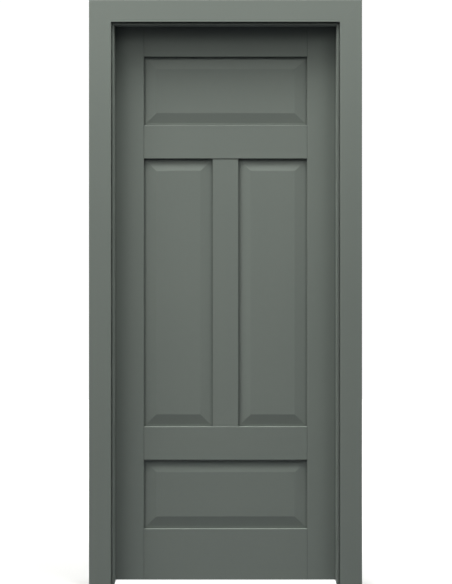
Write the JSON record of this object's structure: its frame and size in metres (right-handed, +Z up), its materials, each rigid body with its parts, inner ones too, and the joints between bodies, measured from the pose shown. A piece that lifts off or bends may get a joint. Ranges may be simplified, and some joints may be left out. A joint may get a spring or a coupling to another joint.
{
  "type": "interior door with frame",
  "caption": "Hinged interior door of stiles, rails and bevelled raised panels, hung in a rebated frame with casings on both faces, seals and a roller catch.",
  "frame": {"origin": "on the floor, in the middle of the frame's width and of its whole depth", "axes": "+Z up, +X to the right and +Y away from a viewer on the push side; the leaf opens towards +Y"},
  "size_m": [0.984, 0.112, 2.109],
  "materials": {
    "frame_paint": "satin grey-green paint on wood",
    "leaf_paint": "satin grey-green paint on wood",
    "rubber_seal": "matte black rubber",
    "hinge_steel": "satin nickel",
    "fitting_steel": "satin zinc plate",
    "nylon": "off-white nylon",
    "beech": "bare beech dowel"
  },
  "bodies": {
    "frame": {"hinge_jamb": "frame_paint", "latch_jamb": "frame_paint", "head_jamb": "frame_paint", "front_casing_hinge_side": "frame_paint", "front_casing_latch_side": "frame_paint", "front_casing_head": "frame_paint", "back_casing_hinge_side": "frame_paint", "back_casing_latch_side": "frame_paint", "back_casing_head": "frame_paint", "seal_hinge_side": "rubber_seal", "seal_latch_side": "rubber_seal", "seal_head": "rubber_seal", "corner_screws": "fitting_steel", "frame_hinge_bottom": "hinge_steel", "frame_hinge_middle": "hinge_steel", "frame_hinge_top": "hinge_steel", "hinge_pins": "hinge_steel", "hinge_washers": "nylon", "strike_plate": "fitting_steel", "strike_screws": "fitting_steel"},
    "leaf": {"hinge_stile": "leaf_paint", "latch_stile": "leaf_paint", "top_rail": "leaf_paint", "upper_cross_rail": "leaf_paint", "lower_cross_rail": "leaf_paint", "bottom_rail": "leaf_paint", "muntin": "leaf_paint", "top_panel": "leaf_paint", "left_panel": "leaf_paint", "right_panel": "leaf_paint", "bottom_panel": "leaf_paint", "joint_dowels": "beech", "leaf_hinge_bottom": "hinge_steel", "leaf_hinge_middle": "hinge_steel", "leaf_hinge_top": "hinge_steel", "hinge_bushes": "nylon", "catch_case": "fitting_steel", "catch_face_plate": "fitting_steel", "catch_screws": "fitting_steel", "catch_spring": "fitting_steel"},
    "catch_carriage": {"catch_carriage": "fitting_steel", "roller_axle": "fitting_steel"},
    "catch_roller": {"catch_roller": "nylon"}
  },
  "joints": [
    {"name": "leaf_swing", "type": "hinge", "parent": "frame", "child": "leaf", "pos_m": [-0.428, 0.049, 0], "axis": [0, 0, 1], "range_deg": [0, 175]},
    {"name": "catch_slide", "type": "slide", "parent": "leaf", "child": "catch_carriage", "axis": [1, 0, 0], "range_m": [-0.0055, 0], "stiffness_N_per_m": 800, "springref_m": 0.004, "deforming": ["catch_spring"]},
    {"name": "roller_spin", "type": "hinge", "parent": "catch_carriage", "child": "catch_roller", "pos_m": [0.4085, 0.0275, 1.05], "axis": [0, 0, 1], "continuous": true}
  ]
}
